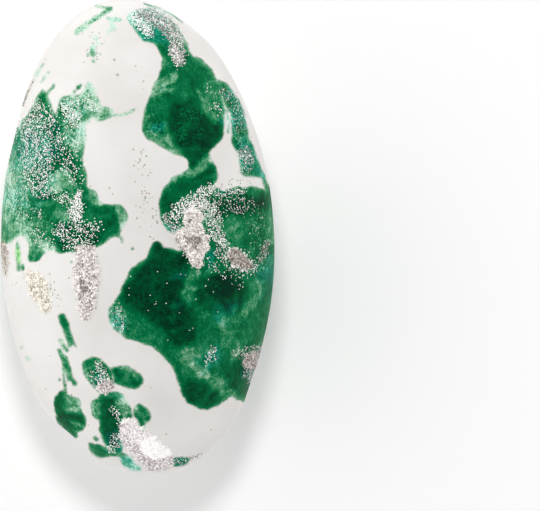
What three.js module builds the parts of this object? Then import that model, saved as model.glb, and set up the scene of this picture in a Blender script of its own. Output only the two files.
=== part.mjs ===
// A sugared almond: a large almond kernel under a thick shell of hard sugar, built up coat by coat
// in a turning pan, then stained green by brush and dusted with silver while the dye is wet.
// It lies on its flatter side, on the small spot that such a sweet settles on, stained face up.
// Millimetres, +Z up, +Y towards the narrow end, origin on the ground under its middle.
import * as THREE from 'three';
import { mergeVertices } from 'three/addons/utils/BufferGeometryUtils.js';

// Driving dimensions
const LENGTH = 29.8;
const WIDTH = 17.1;
const THICKNESS = 15.1;
const NARROW_END = 0.008; // how much further the narrow end reaches, as a share of the radius
const SKEW = 0.012; // how far the shoulders lean out of true, as the same share
const REST_CUT = 0.12; // depth of the flat spot that it rests on
const CRUST = 0.07; // height of the silver crust over the sugar
const DETAIL = 20; // rows of triangles on each face of the starting icosahedron, less one

// Where the coats ran thick or thin: turn goes round the plan from +X towards +Y and rise lifts
// the place from the rim towards the shown face, both in degrees. A bell-shaped swelling of that
// half-width, spread, stands height millimetres proud there.
const UNEVEN = [
  { turn: -138, rise: 0, spread: 9, height: 0.13 }, // left haunch
  { turn: -123, rise: 0, spread: 6, height: -0.25 }, // flat below it
  { turn: -112, rise: 0, spread: 6, height: 0.15 },
  { turn: -50, rise: 0, spread: 9, height: 0.17 }, // right haunch
  { turn: -37, rise: 5, spread: 9, height: -0.15 }, // hollow above it
  { turn: -12, rise: 0, spread: 12, height: 0.05 },
  { turn: 27, rise: 0, spread: 10, height: -0.07 },
  { turn: 52, rise: 0, spread: 8, height: 0.11 }, // right shoulder
  { turn: 100, rise: 0, spread: 8, height: -0.08 },
  { turn: 130, rise: 5, spread: 10, height: 0.08 }, // left shoulder
  { turn: 150, rise: 0, spread: 9, height: -0.1 },
  { turn: -60, rise: 48, spread: 17, height: 0.1 }, // the rest on the shown face
  { turn: 75, rise: 50, spread: 16, height: -0.1 },
  { turn: 160, rise: 55, spread: 15, height: 0.08 },
  { turn: 20, rise: 40, spread: 13, height: 0.06 },
  { turn: -80, rise: -45, spread: 18, height: -0.12 }, // and on the face that it lies on
  { turn: 70, rise: -40, spread: 18, height: 0.1 },
  { turn: 175, rise: -35, spread: 16, height: -0.08 },
];

// Silver crust on the shown face. Each patch is a line of dabs [x, y, radius] in millimetres.
const CRUSTS = {
  crown: [[1.5, 13.8, 0.4], [2.3, 13.3, 0.5], [2.9, 12.4, 0.5], [3.0, 11.2, 0.5]],
  middle: [[3.4, 1.5, 0.7], [3.5, 0.5, 0.8], [3.4, -0.5, 0.9], [3.6, -1.7, 0.5]],
  right: [[5.3, -1.6, 0.5], [6.0, -1.8, 0.6], [6.8, -2.2, 0.4]],
  rightRim: [[6.6, -7.8, 0.4], [7.1, -8.0, 0.5]],
  leftMiddle: [[-3.4, 2.6, 0.5], [-3.8, 1.4, 0.6], [-3.9, 0.4, 0.4]],
  left: [[-3.5, -0.9, 0.5], [-3.4, -2.0, 0.6], [-3.35, -3.0, 0.65], [-3.6, -4.7, 0.3]],
  leftRim: [[-6.7, -2.3, 0.35], [-6.4, -3.0, 0.5], [-6.0, -4.2, 0.35]],
  lowerLeft: [[-2.8, -8.0, 0.3], [-2.5, -9.2, 0.45]],
  foot: [[-1.3, -11.3, 0.4], [-1.0, -12.2, 0.5], [0.2, -13.3, 0.65], [0.9, -14.0, 0.5]],
};

function direction(turn, rise) {
  const [t, r] = [turn, rise].map(THREE.MathUtils.degToRad);
  return new THREE.Vector3(Math.cos(t) * Math.cos(r), Math.sin(t) * Math.cos(r), Math.sin(r));
}

// Millimetres that the uneven coats add over a place on the unit sphere.
function unevenness(unit) {
  return UNEVEN.reduce((sum, { turn, rise, spread, height }) => {
    const halfWidth = Math.sin(THREE.MathUtils.degToRad(spread));
    const apart = unit.distanceTo(direction(turn, rise)) / halfWidth;
    return sum + height * Math.exp(-apart * apart);
  }, 0);
}

// The place that a point of the unit sphere takes on the sweet: an ellipsoid, drawn out at the
// narrow end, a little skewed, and uneven.
function onShell(unit) {
  const { x, y } = unit;
  const narrow = NARROW_END * (y * y * y - 3 * x * x * y);
  const skewed = SKEW * 4 * x * y * (x * x - y * y);
  const point = unit.clone().multiply(new THREE.Vector3(WIDTH, LENGTH, THICKNESS)).divideScalar(2);
  const swollen = 1 + unevenness(unit) / point.length();
  return point.multiplyScalar(swollen * (1 + narrow + skewed));
}

// 1 inside a line of dabs, falling smoothly to 0 just outside it.
function cover(dabs, x, y) {
  const stretches = dabs.slice(1).map(([bx, by, br], i) => {
    const [ax, ay, ar] = dabs[i];
    const along = ((x - ax) * (bx - ax) + (y - ay) * (by - ay)) / Math.hypot(bx - ax, by - ay) ** 2;
    const t = THREE.MathUtils.clamp(along, 0, 1);
    const away = Math.hypot(x - ax - t * (bx - ax), y - ay - t * (by - ay));
    return THREE.MathUtils.smoothstep(1.5 - away / (ar + t * (br - ar)), 0, 1);
  });
  return Math.max(...stretches);
}

function sugarShell() {
  const sphere = new THREE.IcosahedronGeometry(1, DETAIL);
  sphere.deleteAttribute('normal');
  sphere.deleteAttribute('uv');
  const geometry = mergeVertices(sphere, 1e-6);
  const place = geometry.attributes.position;
  const points = Array.from({ length: place.count }, (_, i) =>
    onShell(new THREE.Vector3().fromBufferAttribute(place, i).normalize()));

  // The flat spot that it settles on.
  const ground = Math.min(...points.map((p) => p.z)) + REST_CUT;
  points.forEach((p) => { p.z = Math.max(p.z, ground); });

  // Brought to the driving dimensions exactly and set on the ground, then given its silver crust.
  const box = new THREE.Box3().setFromPoints(points);
  const trueSize = new THREE.Vector3(WIDTH, LENGTH, THICKNESS);
  const scale = trueSize.divide(box.getSize(new THREE.Vector3()));
  const foot = box.getCenter(new THREE.Vector3()).setZ(ground);
  points.forEach((p, i) => {
    p.sub(foot).multiply(scale);
    const { x, y } = p;
    const silver = Math.max(...Object.values(CRUSTS).map((dabs) => cover(dabs, x, y)));
    const crust = p.z > THICKNESS / 2 ? CRUST * silver : 0;
    place.setXYZ(i, x, y, Math.min(p.z + crust, THICKNESS));
  });
  geometry.computeVertexNormals();
  return geometry;
}

const sugar = new THREE.MeshStandardMaterial({ color: '#f4f2ee', roughness: 0.45, metalness: 0 });
const almond = new THREE.Mesh(sugarShell(), sugar);
almond.name = 'sugared_almond';

const part = new THREE.Group();
part.add(almond);
export default part;
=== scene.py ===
# A sugared almond lying on a pale table: its shell of panned sugar, the green dye brushed on it and
# the silver dust that stuck in the wet dye. Blender works in metres. The sweet is worked out in
# millimetres, and each of its meshes is turned to metres when it is finished.
import math

import bpy
import numpy as np
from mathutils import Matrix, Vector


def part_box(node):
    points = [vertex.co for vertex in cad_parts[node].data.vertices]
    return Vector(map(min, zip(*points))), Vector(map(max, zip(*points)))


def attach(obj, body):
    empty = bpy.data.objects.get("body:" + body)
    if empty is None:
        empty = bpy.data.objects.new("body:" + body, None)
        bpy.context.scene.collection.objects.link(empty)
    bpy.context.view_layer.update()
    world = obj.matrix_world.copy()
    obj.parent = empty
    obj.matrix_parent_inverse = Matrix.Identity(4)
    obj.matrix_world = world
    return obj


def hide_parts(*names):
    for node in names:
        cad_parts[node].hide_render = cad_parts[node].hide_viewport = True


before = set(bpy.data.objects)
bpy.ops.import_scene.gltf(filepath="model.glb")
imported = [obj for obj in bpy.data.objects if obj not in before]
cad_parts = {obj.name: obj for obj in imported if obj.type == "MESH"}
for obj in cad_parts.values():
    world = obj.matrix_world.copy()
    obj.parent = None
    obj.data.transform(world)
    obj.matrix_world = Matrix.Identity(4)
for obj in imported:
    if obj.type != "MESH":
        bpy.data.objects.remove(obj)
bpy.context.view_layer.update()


# The sugar shell
# Hard white sugar, built up coat by coat round the almond in a turning pan. It comes out as an
# egg, a little skewed, with places where the coats ran thick or thin, a skin like fine orange
# peel, and a small flat spot on the side that it settles on.
MM = 0.001
shell_low, shell_high = (np.array(corner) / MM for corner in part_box("sugared_almond"))
WIDTH, LENGTH, THICKNESS = (float(side) for side in shell_high - shell_low)
NARROW_END = 0.008
SKEW = 0.012
REST_CUT = 0.12
PEEL = 0.016

# (turn round the plan, rise towards the shown face, half-width, all in degrees; height in mm)
UNEVEN = [
    (-138, 0, 9, 0.13), (-123, 0, 6, -0.25), (-112, 0, 6, 0.15), (-50, 0, 9, 0.17),
    (-37, 5, 9, -0.15), (-12, 0, 12, 0.05), (27, 0, 10, -0.07), (52, 0, 8, 0.11),
    (100, 0, 8, -0.08), (130, 5, 10, 0.08), (150, 0, 9, -0.1), (-60, 48, 17, 0.1),
    (75, 50, 16, -0.1), (160, 55, 15, 0.08), (20, 40, 13, 0.06), (-80, -45, 18, -0.12),
    (70, -40, 18, 0.1), (175, -35, 16, -0.08),
]


def fill(tree, node, inputs):
    """Joins a node's inputs to sockets, or sets them to values."""
    for slot, value in inputs.items():
        if isinstance(value, bpy.types.NodeSocket):
            tree.links.new(value, node.inputs[slot])
        else:
            node.inputs[slot].default_value = value


def add(tree, kind, inputs=None, **settings):
    """Adds a node with these settings and inputs."""
    node = tree.nodes.new(kind)
    for name, value in settings.items():
        setattr(node, name, value)
    fill(tree, node, inputs or {})
    return node


def calc(tree, operation, *values):
    """One step of arithmetic on numbers."""
    return add(tree, "ShaderNodeMath", dict(enumerate(values)), operation=operation).outputs[0]


def vcalc(tree, operation, *values):
    """One step of arithmetic on vectors."""
    slots = {0: values[0], "Scale": values[1]} if operation == "SCALE" else dict(enumerate(values))
    node = add(tree, "ShaderNodeVectorMath", slots, operation=operation)
    return node.outputs["Value" if operation in ("DISTANCE", "LENGTH") else 0]


def noise(tree, where, per_mm, detail=2.0, rough=0.5):
    """Cloudy noise from 0 to 1, round about 0.5, with so many clouds to the millimetre."""
    return add(tree, "ShaderNodeTexNoise", {"Vector": where, "Scale": per_mm, "Detail": detail,
                                            "Roughness": rough}).outputs[0]


def swing(tree, value, by, onto=0.0):
    """Noise centred on nought, times by, added onto another value."""
    return calc(tree, "MULTIPLY_ADD", calc(tree, "SUBTRACT", value, 0.5), by, onto)


def new_tree(name, kind, inputs, outputs):
    """A node group with named inputs and outputs. Gives it with its input and output sockets."""
    tree = bpy.data.node_groups.new(name, kind)
    for label, sort, *value in inputs:
        socket = tree.interface.new_socket(label, in_out="INPUT", socket_type="NodeSocket" + sort)
        if value:
            socket.default_value = value[0]
    for label, sort in outputs:
        tree.interface.new_socket(label, in_out="OUTPUT", socket_type="NodeSocket" + sort)
    return tree, tree.nodes.new("NodeGroupInput").outputs, tree.nodes.new("NodeGroupOutput").inputs


def ended(tree, geometry, material, out):
    """Ends a tree: what it made is turned to plain mesh and given its material."""
    real = add(tree, "GeometryNodeRealizeInstances", {"Geometry": geometry})
    coated = add(tree, "GeometryNodeSetMaterial", {"Geometry": real.outputs[0], "Material": material})
    tree.links.new(coated.outputs[0], out[0])
    return tree


def panned_shell():
    """A round grid pushed out to the egg, swollen, given its peel and flattened where it rests."""
    tree, given, out = new_tree("Panned sugar shell", "GeometryNodeTree", [
        ("Width", "Float", 10.0), ("Length", "Float", 10.0), ("Thickness", "Float", 10.0),
        ("Narrow End", "Float", 0.0), ("Skew", "Float", 0.0), ("Rest Cut", "Float", 0.0),
        ("Peel", "Float", 0.0), ("Sugar", "Material")], [("Geometry", "Geometry")])
    grid = add(tree, "GeometryNodeMeshCube", {"Size": (2, 2, 2), "Vertices X": 105,
                                              "Vertices Y": 175, "Vertices Z": 95})
    # The tangent spreads the grid evenly once it is drawn in to a ball.
    place = add(tree, "GeometryNodeInputPosition").outputs[0]
    unit = vcalc(tree, "NORMALIZE", vcalc(tree, "TANGENT", vcalc(tree, "SCALE", place, math.pi / 4)))
    x, y, _ = add(tree, "ShaderNodeSeparateXYZ", {0: unit}).outputs
    xx, yy = calc(tree, "MULTIPLY", x, x), calc(tree, "MULTIPLY", y, y)
    towards_end = calc(tree, "MULTIPLY", y, calc(tree, "MULTIPLY_ADD", xx, -3.0, yy))
    leaning = calc(tree, "MULTIPLY", calc(tree, "MULTIPLY", x, y), calc(tree, "SUBTRACT", xx, yy))
    form = calc(tree, "MULTIPLY_ADD", towards_end, given["Narrow End"], 1.0)
    form = calc(tree, "MULTIPLY_ADD", calc(tree, "MULTIPLY", leaning, 4.0), given["Skew"], form)

    size = add(tree, "ShaderNodeCombineXYZ", {0: given["Width"], 1: given["Length"],
                                              2: given["Thickness"]}).outputs[0]
    egg = vcalc(tree, "MULTIPLY", unit, vcalc(tree, "SCALE", size, 0.5))
    swelling = 0.0
    for *angles, height in UNEVEN:
        turn, rise, spread = (math.radians(angle) for angle in angles)
        level = math.cos(rise)
        towards = (math.cos(turn) * level, math.sin(turn) * level, math.sin(rise))
        apart = vcalc(tree, "DISTANCE", unit, towards)
        apart = calc(tree, "POWER", calc(tree, "DIVIDE", apart, math.sin(spread)), 2.0)
        bell = calc(tree, "EXPONENT", calc(tree, "MULTIPLY", apart, -1.0))
        swelling = calc(tree, "MULTIPLY_ADD", bell, height, swelling)
    for per_mm, share in ((0.4, 2.0), (1.3, 0.7)):
        lift = swing(tree, noise(tree, egg, per_mm, 1.0), share)
        swelling = calc(tree, "MULTIPLY_ADD", lift, given["Peel"], swelling)
    swollen = calc(tree, "ADD", calc(tree, "DIVIDE", swelling, vcalc(tree, "LENGTH", egg)), 1.0)
    skin = vcalc(tree, "SCALE", egg, calc(tree, "MULTIPLY", swollen, form))
    shaped = add(tree, "GeometryNodeSetPosition", {"Geometry": grid.outputs[0], "Position": skin})

    here = add(tree, "GeometryNodeInputPosition").outputs[0]
    across, along, up = add(tree, "ShaderNodeSeparateXYZ", {0: here}).outputs
    lowest = add(tree, "GeometryNodeAttributeStatistic",
                 {"Geometry": shaped.outputs[0], "Attribute": up}).outputs["Min"]
    held_up = calc(tree, "MAXIMUM", up, calc(tree, "ADD", lowest, given["Rest Cut"]))
    settled = add(tree, "ShaderNodeCombineXYZ", {0: across, 1: along, 2: held_up}).outputs[0]
    rested = add(tree, "GeometryNodeSetPosition", {"Geometry": shaped.outputs[0], "Position": settled})
    drift = add(tree, "ShaderNodeTexNoise", {"Vector": here, "Scale": 0.9, "Detail": 3.0})
    drift = vcalc(tree, "SUBTRACT", drift.outputs["Color"], (0.5, 0.5, 0.5))
    marked = add(tree, "GeometryNodeStoreNamedAttribute", {
        "Geometry": rested.outputs[0], "Name": "drift", "Value": drift},
        data_type="FLOAT_VECTOR", domain="POINT")
    shaded = add(tree, "GeometryNodeSetShadeSmooth", {"Geometry": marked.outputs[0]})
    return ended(tree, shaded.outputs[0], given["Sugar"], out)


def grown(name, tree, values, host=None):
    """Runs a tree on a host mesh with its inputs set by name. Gives the plain mesh that it makes."""
    maker = bpy.data.objects.new(name + "_maker", host or bpy.data.meshes.new(name + "_host"))
    bpy.context.collection.objects.link(maker)
    modifier = maker.modifiers.new("Grow", "NODES")
    modifier.node_group = tree
    for socket in tree.interface.items_tree:
        if socket.in_out == "INPUT" and socket.name in values:
            modifier[socket.identifier] = values[socket.name]
    mesh = bpy.data.meshes.new_from_object(maker.evaluated_get(bpy.context.evaluated_depsgraph_get()))
    mesh.name = name
    bpy.data.objects.remove(maker)
    return mesh


def places(mesh):
    """The places of a mesh's vertices as rows."""
    flat = np.empty(len(mesh.vertices) * 3, np.float32)
    mesh.vertices.foreach_get("co", flat)
    return flat.reshape(-1, 3).astype(float)


sugar = bpy.data.materials.new("dyed_sugar")
shell_mesh = grown("sugar_shell", panned_shell(), {
    "Width": WIDTH, "Length": LENGTH, "Thickness": THICKNESS, "Narrow End": NARROW_END,
    "Skew": SKEW, "Rest Cut": REST_CUT, "Peel": PEEL, "Sugar": sugar})
skin = places(shell_mesh)
drift = np.empty(len(skin) * 3, np.float32)
shell_mesh.attributes["drift"].data.foreach_get("vector", drift)
drift = drift.reshape(-1, 3)[:, :2]
shell_mesh.attributes.remove(shell_mesh.attributes["drift"])
low, high = skin.min(0), skin.max(0)
skin = (skin - low) / (high - low) * (shell_high - shell_low) + shell_low
shell_mesh.vertices.foreach_set("co", skin.astype(np.float32).ravel())


# The green dye
# Food dye brushed on in blots and strokes while the shell was still thirsty. Each blot is a smooth
# closed line over the shown face, and one drawn past the rim carries on round to the other side.
BLOTS = {
    "crown": [
        (0.05, 13.6), (0.2, 13.95), (0.7, 14.1), (1.2, 14.2), (1.75, 14.1), (2.3, 13.8),
        (2.9, 13.25), (3.35, 12.6), (3.65, 12.0), (3.85, 11.4), (4.1, 10.8), (3.2, 10.4),
        (2.3, 10.6), (2.0, 11.3), (1.7, 11.9), (1.3, 12.1), (0.95, 12.2), (0.65, 12.65),
        (0.35, 13.1)],
    "bell": [
        (2.15, 11.0), (3.0, 11.3), (4.0, 11.05), (4.5, 10.9), (4.9, 10.5), (5.2, 10.05),
        (5.4, 9.6), (5.6, 9.2), (5.8, 8.8), (5.87, 8.2), (5.87, 7.6), (5.82, 7.0), (5.75, 6.4),
        (5.6, 5.9), (5.3, 5.5), (4.95, 5.25), (4.7, 4.9), (4.4, 4.2), (3.5, 4.0), (3.45, 4.3),
        (3.35, 4.6), (3.1, 4.85), (2.7, 5.0), (2.3, 5.2), (1.9, 5.45), (1.4, 5.75), (1.0, 6.0),
        (0.75, 6.3), (0.65, 6.7), (0.7, 7.3), (0.85, 7.9), (1.1, 8.5), (1.35, 9.0), (1.55, 9.5),
        (1.8, 9.9), (2.0, 10.4)],
    "lobe": [
        (3.5, 4.5), (4.6, 5.0), (4.85, 4.55), (5.05, 4.25), (5.18, 3.9), (5.2, 3.5), (5.1, 3.2),
        (5.0, 2.8), (5.2, 1.8), (4.2, 0.9), (3.0, 0.4), (2.3, 0.15), (1.95, 0.25), (1.7, 0.6),
        (1.55, 0.95), (1.45, 1.4), (1.45, 1.9), (1.55, 2.4), (1.75, 2.85), (2.05, 3.2),
        (2.4, 3.55), (2.8, 3.75), (3.2, 3.9), (3.4, 4.05)],
    "right": [
        (5.0, 2.75), (5.5, 2.6), (5.9, 2.68), (6.4, 2.8), (6.9, 2.72), (7.4, 2.78), (7.8, 2.62),
        (8.2, 2.55), (8.9, 2.75), (9.3, 2.2), (9.15, 1.4), (9.6, 0.9), (10.2, 0.3), (10.4, -0.8),
        (9.9, -1.5), (9.5, -2.1), (9.7, -3.0), (10.4, -3.6), (10.6, -4.6), (9.9, -5.2),
        (9.3, -5.3), (9.1, -6.2), (9.6, -7.0), (9.4, -8.2), (8.6, -9.0), (8.0, -9.2),
        (7.7, -9.9), (7.3, -10.7), (6.8, -10.9), (6.3, -10.75), (6.0, -10.6), (5.75, -10.5),
        (5.55, -10.35), (5.3, -10.3), (5.1, -10.45), (4.8, -10.6), (4.4, -10.85), (3.9, -11.0),
        (3.4, -10.95), (2.95, -10.75), (2.6, -10.5), (2.35, -10.1), (2.2, -9.6), (2.05, -9.1),
        (1.95, -8.7), (1.75, -8.25),
        (1.5, -7.9), (1.15, -7.5), (0.8, -7.15), (0.45, -6.85), (0.0, -6.7), (-0.5, -6.5),
        (-1.0, -6.3), (-1.35, -6.05), (-1.75, -5.75), (-1.95, -5.3), (-2.05, -4.8),
        (-2.0, -4.45), (-1.75, -4.2), (-1.6, -3.9), (-1.3, -3.5), (-1.1, -3.1), (-0.85, -2.6),
        (-0.6, -2.15), (-0.35, -1.85), (0.1, -1.6), (0.5, -1.3), (0.7, -1.0), (0.8, -0.75),
        (0.95, -0.45), (1.2, -0.35), (1.45, -0.45), (1.65, -0.75), (2.2, -0.88), (2.65, -1.05),
        (3.0, -0.4), (3.8, 0.5), (4.8, 1.4)],
    "right rim": [
        (5.5, 9.5), (5.95, 9.35), (6.25, 9.0), (6.5, 8.6), (6.8, 8.1), (7.0, 7.5), (7.12, 6.9),
        (7.22, 6.3), (7.3, 5.7), (7.5, 5.35), (7.62, 4.9), (7.78, 4.4), (7.92, 3.95), (8.1, 3.5),
        (8.3, 2.9), (9.0, 2.0), (8.2, 2.2), (8.05, 2.9), (7.85, 3.3), (7.5, 3.35), (7.2, 3.4),
        (6.9, 3.45), (6.72, 3.6), (6.65, 3.9), (6.6, 4.3), (6.55, 4.8), (6.4, 5.1), (6.25, 5.35),
        (6.15, 5.6), (6.2, 6.0), (6.25, 6.6), (6.22, 7.1), (6.15, 7.5), (5.95, 7.8), (5.7, 8.3),
        (5.5, 8.9)],
    "left": [
        (-5.5, 9.45), (-5.2, 9.35), (-4.8, 9.65), (-4.72, 9.55), (-5.1, 9.1), (-5.0, 8.6),
        (-4.8, 8.0), (-4.3, 7.6), (-3.9, 7.3), (-3.4, 7.2), (-3.0, 7.15), (-2.9, 6.6),
        (-2.98, 6.0), (-3.1, 5.4), (-3.2, 4.95), (-3.05, 4.4), (-2.95, 3.9), (-3.0, 3.3),
        (-2.85, 3.12), (-2.55, 3.02), (-2.35, 2.75), (-2.25, 2.4), (-2.0, 2.15), (-1.6, 2.1),
        (-1.2, 2.05), (-0.88, 1.9), (-0.65, 1.65), (-0.52, 1.3), (-0.65, 0.95), (-0.9, 0.6),
        (-1.05, 0.3), (-1.15, 0.02), (-1.45, 0.1), (-1.85, -0.15), (-2.3, -0.42),
        (-2.75, -0.62), (-3.3, -0.7), (-4.0, -0.75), (-4.6, -0.82), (-5.0, -0.8), (-5.4, -0.6),
        (-5.75, -0.65), (-5.95, -0.9), (-6.25, -1.2), (-6.75, -1.25), (-6.9, -1.0),
        (-6.82, -0.4), (-6.88, 0.05), (-7.1, 0.35), (-7.45, 0.35), (-7.7, 0.12), (-8.05, 0.0),
        (-8.3, -0.15), (-8.6, -0.3), (-9.2, -0.6), (-9.8, -0.2), (-9.6, 0.9), (-10.0, 1.8),
        (-10.4, 3.0), (-9.9, 4.1), (-9.3, 4.6), (-9.3, 5.5), (-8.9, 6.3), (-8.3, 6.4),
        (-8.3, 7.2), (-7.9, 7.9), (-7.5, 7.6), (-7.05, 7.15), (-6.9, 7.5), (-6.45, 8.0),
        (-6.1, 8.5), (-5.85, 9.0)],
    "left shoulder": [
        (-4.55, 8.4), (-4.35, 8.9), (-3.9, 9.0), (-3.4, 9.0), (-2.95, 9.15), (-2.75, 9.6),
        (-2.5, 9.85), (-2.3, 9.5), (-2.15, 9.1), (-2.0, 8.7), (-1.85, 8.3), (-1.5, 8.15),
        (-1.15, 8.0), (-1.2, 7.65), (-1.5, 7.4), (-2.0, 7.35), (-2.5, 7.5), (-2.8, 7.2),
        (-3.0, 7.0), (-3.6, 6.8), (-4.5, 7.0), (-4.7, 7.6)],
    "long dab": [
        (-5.2, -4.7), (-4.95, -4.55), (-4.7, -4.7), (-4.55, -5.2), (-4.42, -5.8), (-4.2, -6.4),
        (-4.1, -6.75), (-4.35, -6.6), (-4.6, -6.7), (-4.75, -6.2), (-4.95, -5.6), (-5.1, -5.1)],
    "haunch dab": [
        (-5.25, -9.35), (-5.0, -9.6), (-4.55, -9.75), (-4.1, -10.0), (-4.05, -10.5),
        (-4.0, -10.8), (-3.8, -11.1), (-3.75, -11.5), (-3.95, -11.85), (-4.3, -12.05),
        (-4.35, -12.35), (-4.6, -12.35), (-4.95, -12.05), (-5.35, -11.6), (-5.6, -11.2),
        (-5.65, -10.7), (-5.72, -10.2), (-5.65, -9.8), (-5.45, -9.6)],
    "foot dab": [
        (-2.95, -9.95), (-2.75, -9.7), (-2.5, -9.75), (-2.0, -9.95), (-1.75, -10.4),
        (-1.55, -10.8), (-1.45, -11.3), (-1.5, -12.0), (-1.6, -12.7), (-1.6, -13.3),
        (-2.0, -13.6), (-2.4, -13.2), (-2.7, -12.8), (-2.85, -12.4), (-2.95, -11.9),
        (-2.95, -11.4), (-3.15, -11.25), (-3.38, -11.0), (-3.42, -10.5), (-3.28, -10.1)],
    "foot rim dab": [
        (-3.64, -12.76), (-3.35, -12.85), (-3.07, -12.8), (-2.7, -13.0), (-2.36, -13.2),
        (-1.86, -13.4), (-1.8, -13.6), (-2.07, -13.66), (-2.4, -13.64), (-2.7, -13.7),
        (-3.0, -13.7), (-3.31, -13.55), (-3.62, -13.2)],
    "silvered dab": [
        (-3.8, -7.75), (-3.55, -7.5), (-3.1, -7.4), (-2.65, -7.55), (-2.35, -7.85),
        (-2.1, -8.25), (-1.95, -8.8), (-2.0, -9.2), (-2.3, -9.45), (-2.7, -9.6), (-3.05, -9.45),
        (-3.35, -9.1), (-3.65, -8.6), (-3.8, -8.2)],
    "leaf dab": [
        (-2.0, -8.15), (-1.6, -8.05), (-1.15, -8.05), (-0.8, -8.2), (-0.45, -8.45),
        (-0.15, -8.75), (-0.05, -9.05), (-0.25, -9.35), (-0.55, -9.5), (-1.0, -9.45),
        (-1.4, -9.3), (-1.8, -9.1), (-1.95, -8.7)],
    "small dab": [
        (-0.75, -10.9), (-0.6, -10.55), (-0.4, -10.4), (-0.15, -10.55), (0.1, -10.8),
        (0.3, -11.2), (0.2, -11.55), (-0.05, -11.7), (-0.25, -11.85), (-0.45, -11.7),
        (-0.6, -11.4), (-0.75, -11.2)],
    "foot tip": [
        (1.35, -13.75), (1.5, -13.9), (1.75, -13.9), (2.4, -13.95), (2.6, -14.0), (2.4, -14.3),
        (2.1, -14.45), (1.6, -14.45), (1.45, -14.2)],
}

# Thin strokes, drips and flecks, each a line of dabs (x, y, radius).
STROKES = {
    "crown streak": [(-3.15, 12.95, 0.14), (-2.7, 13.25, 0.2), (-2.1, 13.65, 0.15),
                     (-1.6, 13.95, 0.14), (-1.0, 14.3, 0.15)],
    "crown branch": [(-1.9, 14.55, 0.05), (-1.35, 14.4, 0.08), (-1.0, 14.3, 0.12)],
    "crown fleck": [(-1.2, 13.7, 0.08), (-0.8, 13.65, 0.13), (-0.42, 13.55, 0.11)],
    "crown wash": [(-0.95, 13.4, 0.12), (-0.85, 13.1, 0.14), (-1.15, 12.85, 0.08)],
    "crown line": [(1.15, 14.5, 0.02), (2.0, 14.2, 0.03), (2.8, 13.78, 0.03), (3.5, 13.2, 0.02)],
    "crown specks": [(-2.2, 11.75, 0.06), (-2.1, 12.1, 0.05)],
    "rim line": [(-5.35, 11.05, 0.05), (-5.6, 10.7, 0.07), (-5.85, 10.3, 0.05)],
    "gap wash": [(5.98, 7.6, 0.04), (6.02, 6.9, 0.07), (5.98, 6.2, 0.04)],
    "crown patch": [(-2.2, 11.9, 0.12), (-2.2, 11.55, 0.2)],
    "shoulder tail": [(-1.2, 7.65, 0.1), (-0.6, 7.6, 0.08), (-0.1, 7.75, 0.07), (0.2, 7.95, 0.05)],
    "shoulder fleck": [(-3.2, 9.5, 0.13), (-3.1, 9.58, 0.13)],
    "drip": [(-7.48, 0.0, 0.09), (-7.5, -0.8, 0.15), (-7.5, -1.65, 0.14)],
    "drip end": [(-7.27, -1.5, 0.11), (-7.24, -1.65, 0.12)],
    "long dab wash": [(-5.1, -6.3, 0.13), (-4.75, -6.9, 0.12)],
    "lower stroke": [(-5.25, -6.85, 0.08), (-4.95, -7.4, 0.2), (-4.8, -8.0, 0.24),
                     (-4.65, -8.65, 0.2)],
    "lower stroke end": [(-4.45, -8.85, 0.13), (-4.4, -9.0, 0.16)],
    "lower stroke edge": [(-5.05, -8.0, 0.08), (-5.0, -8.8, 0.07), (-4.95, -9.5, 0.08)],
    "foot fleck": [(-3.28, -12.45, 0.1), (-3.18, -12.55, 0.12)],
    "foot wash": [(-1.65, -13.65, 0.2), (-1.35, -14.0, 0.34), (-1.0, -14.35, 0.24), (-0.6, -14.5, 0.12)],
    "foot side wash": [(-2.2, -9.75, 0.2), (-1.7, -10.0, 0.32), (-1.35, -10.6, 0.34), (-1.1, -11.2, 0.22)],
    "small dab tail": [(-0.3, -11.7, 0.12), (-0.2, -12.3, 0.06)],
    "rim dash": [(-7.25, -7.22, 0.06), (-7.15, -7.35, 0.08)],
    "lobe dot": [(-1.0, -0.05, 0.09), (-0.95, -0.3, 0.07)],
    "right drip": [(10.2, -1.0, 0.2), (10.9, -1.5, 0.14), (11.3, -1.6, 0.07)],
    "right side fleck": [(9.5, 4.8, 0.16), (9.9, 5.4, 0.3), (10.2, 6.2, 0.16)],
    "right side specks": [(10.6, 3.6, 0.1), (10.9, 3.4, 0.12)],
    "left side fleck": [(-9.7, -2.3, 0.2), (-10.2, -3.0, 0.3), (-10.3, -3.9, 0.14)],
    "left side drip": [(-10.2, 3.2, 0.3), (-10.9, 3.5, 0.2), (-11.3, 3.4, 0.1)],
}

# Single drops that flew off the brush: (x, y, radius).
DROPS = [
    (-2.16, 11.08, 0.11), (-2.05, 12.5, 0.09), (-1.85, 12.2, 0.07), (-2.5, 11.5, 0.06), (-1.75, 11.5, 0.06),
    (-3.5, 9.2, 0.08), (-4.75, 9.7, 0.08), (-5.3, 10.2, 0.08), (-5.05, 10.5, 0.07), (-5.5, 9.95, 0.07),
    (-0.9, 11.1, 0.05), (-0.75, 10.15, 0.05), (-7.6, -6.6, 0.06), (-5.3, -8.7, 0.07),
    (-5.8, -3.6, 0.08), (-4.2, -1.4, 0.07), (-0.35, -0.75, 0.05),
]

# The face that it lies on was brushed in the same way: (blot, turn in degrees, scale, middle).
UNDER_BLOTS = [
    ("bell", 200, 1.15, (-1.8, 7.6)), ("right", 165, 0.62, (-2.6, -4.4)), ("lobe", 70, 1.3, (2.6, 2.2)),
    ("haunch dab", 40, 1.4, (3.0, -8.9)), ("leaf dab", 100, 1.3, (2.6, 10.2)),
    ("long dab", 60, 1.3, (-3.6, 1.9)), ("small dab", 0, 1.3, (0.9, -11.6)),
    ("silvered dab", 20, 1.1, (4.6, -3.6)),
]


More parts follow.
